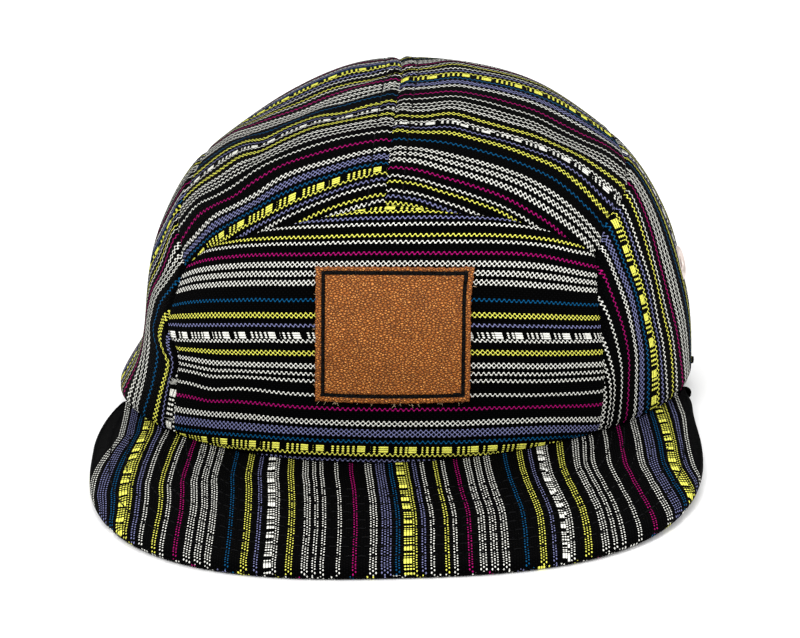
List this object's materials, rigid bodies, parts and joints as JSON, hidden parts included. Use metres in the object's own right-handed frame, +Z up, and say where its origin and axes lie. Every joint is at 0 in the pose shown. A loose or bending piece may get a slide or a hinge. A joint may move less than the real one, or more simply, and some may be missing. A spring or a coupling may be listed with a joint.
{
  "type": "five-panel cap",
  "caption": "Soft cloth cap with a low panelled crown, a stitched flat brim, a bare leather patch in front, side eyelets and a strap that closes the back.",
  "frame": {"origin": "middle of the cap's outline, on the surface that it rests on", "axes": "+Z up, -Y out of the brim, +X to the right of someone who looks at the front of the cap"},
  "size_m": [0.1762, 0.2572, 0.0984],
  "materials": {
    "striped_cloth": "coarse plain weave with coloured stripes",
    "leather": "grained, slightly worn",
    "webbing": "woven tape",
    "eyelet_metal": "satin",
    "buckle_metal": "brushed"
  },
  "bodies": {
    "root": {"front_panel": "striped_cloth", "top_panel_left": "striped_cloth", "top_panel_right": "striped_cloth", "side_panel_left": "striped_cloth", "side_panel_right": "striped_cloth", "brim": "striped_cloth", "leather_patch": "leather", "eyelet_right": "eyelet_metal", "eyelet_left": "eyelet_metal", "back_strap": "webbing", "strap_buckle": "buckle_metal"}
  },
  "joints": []
}
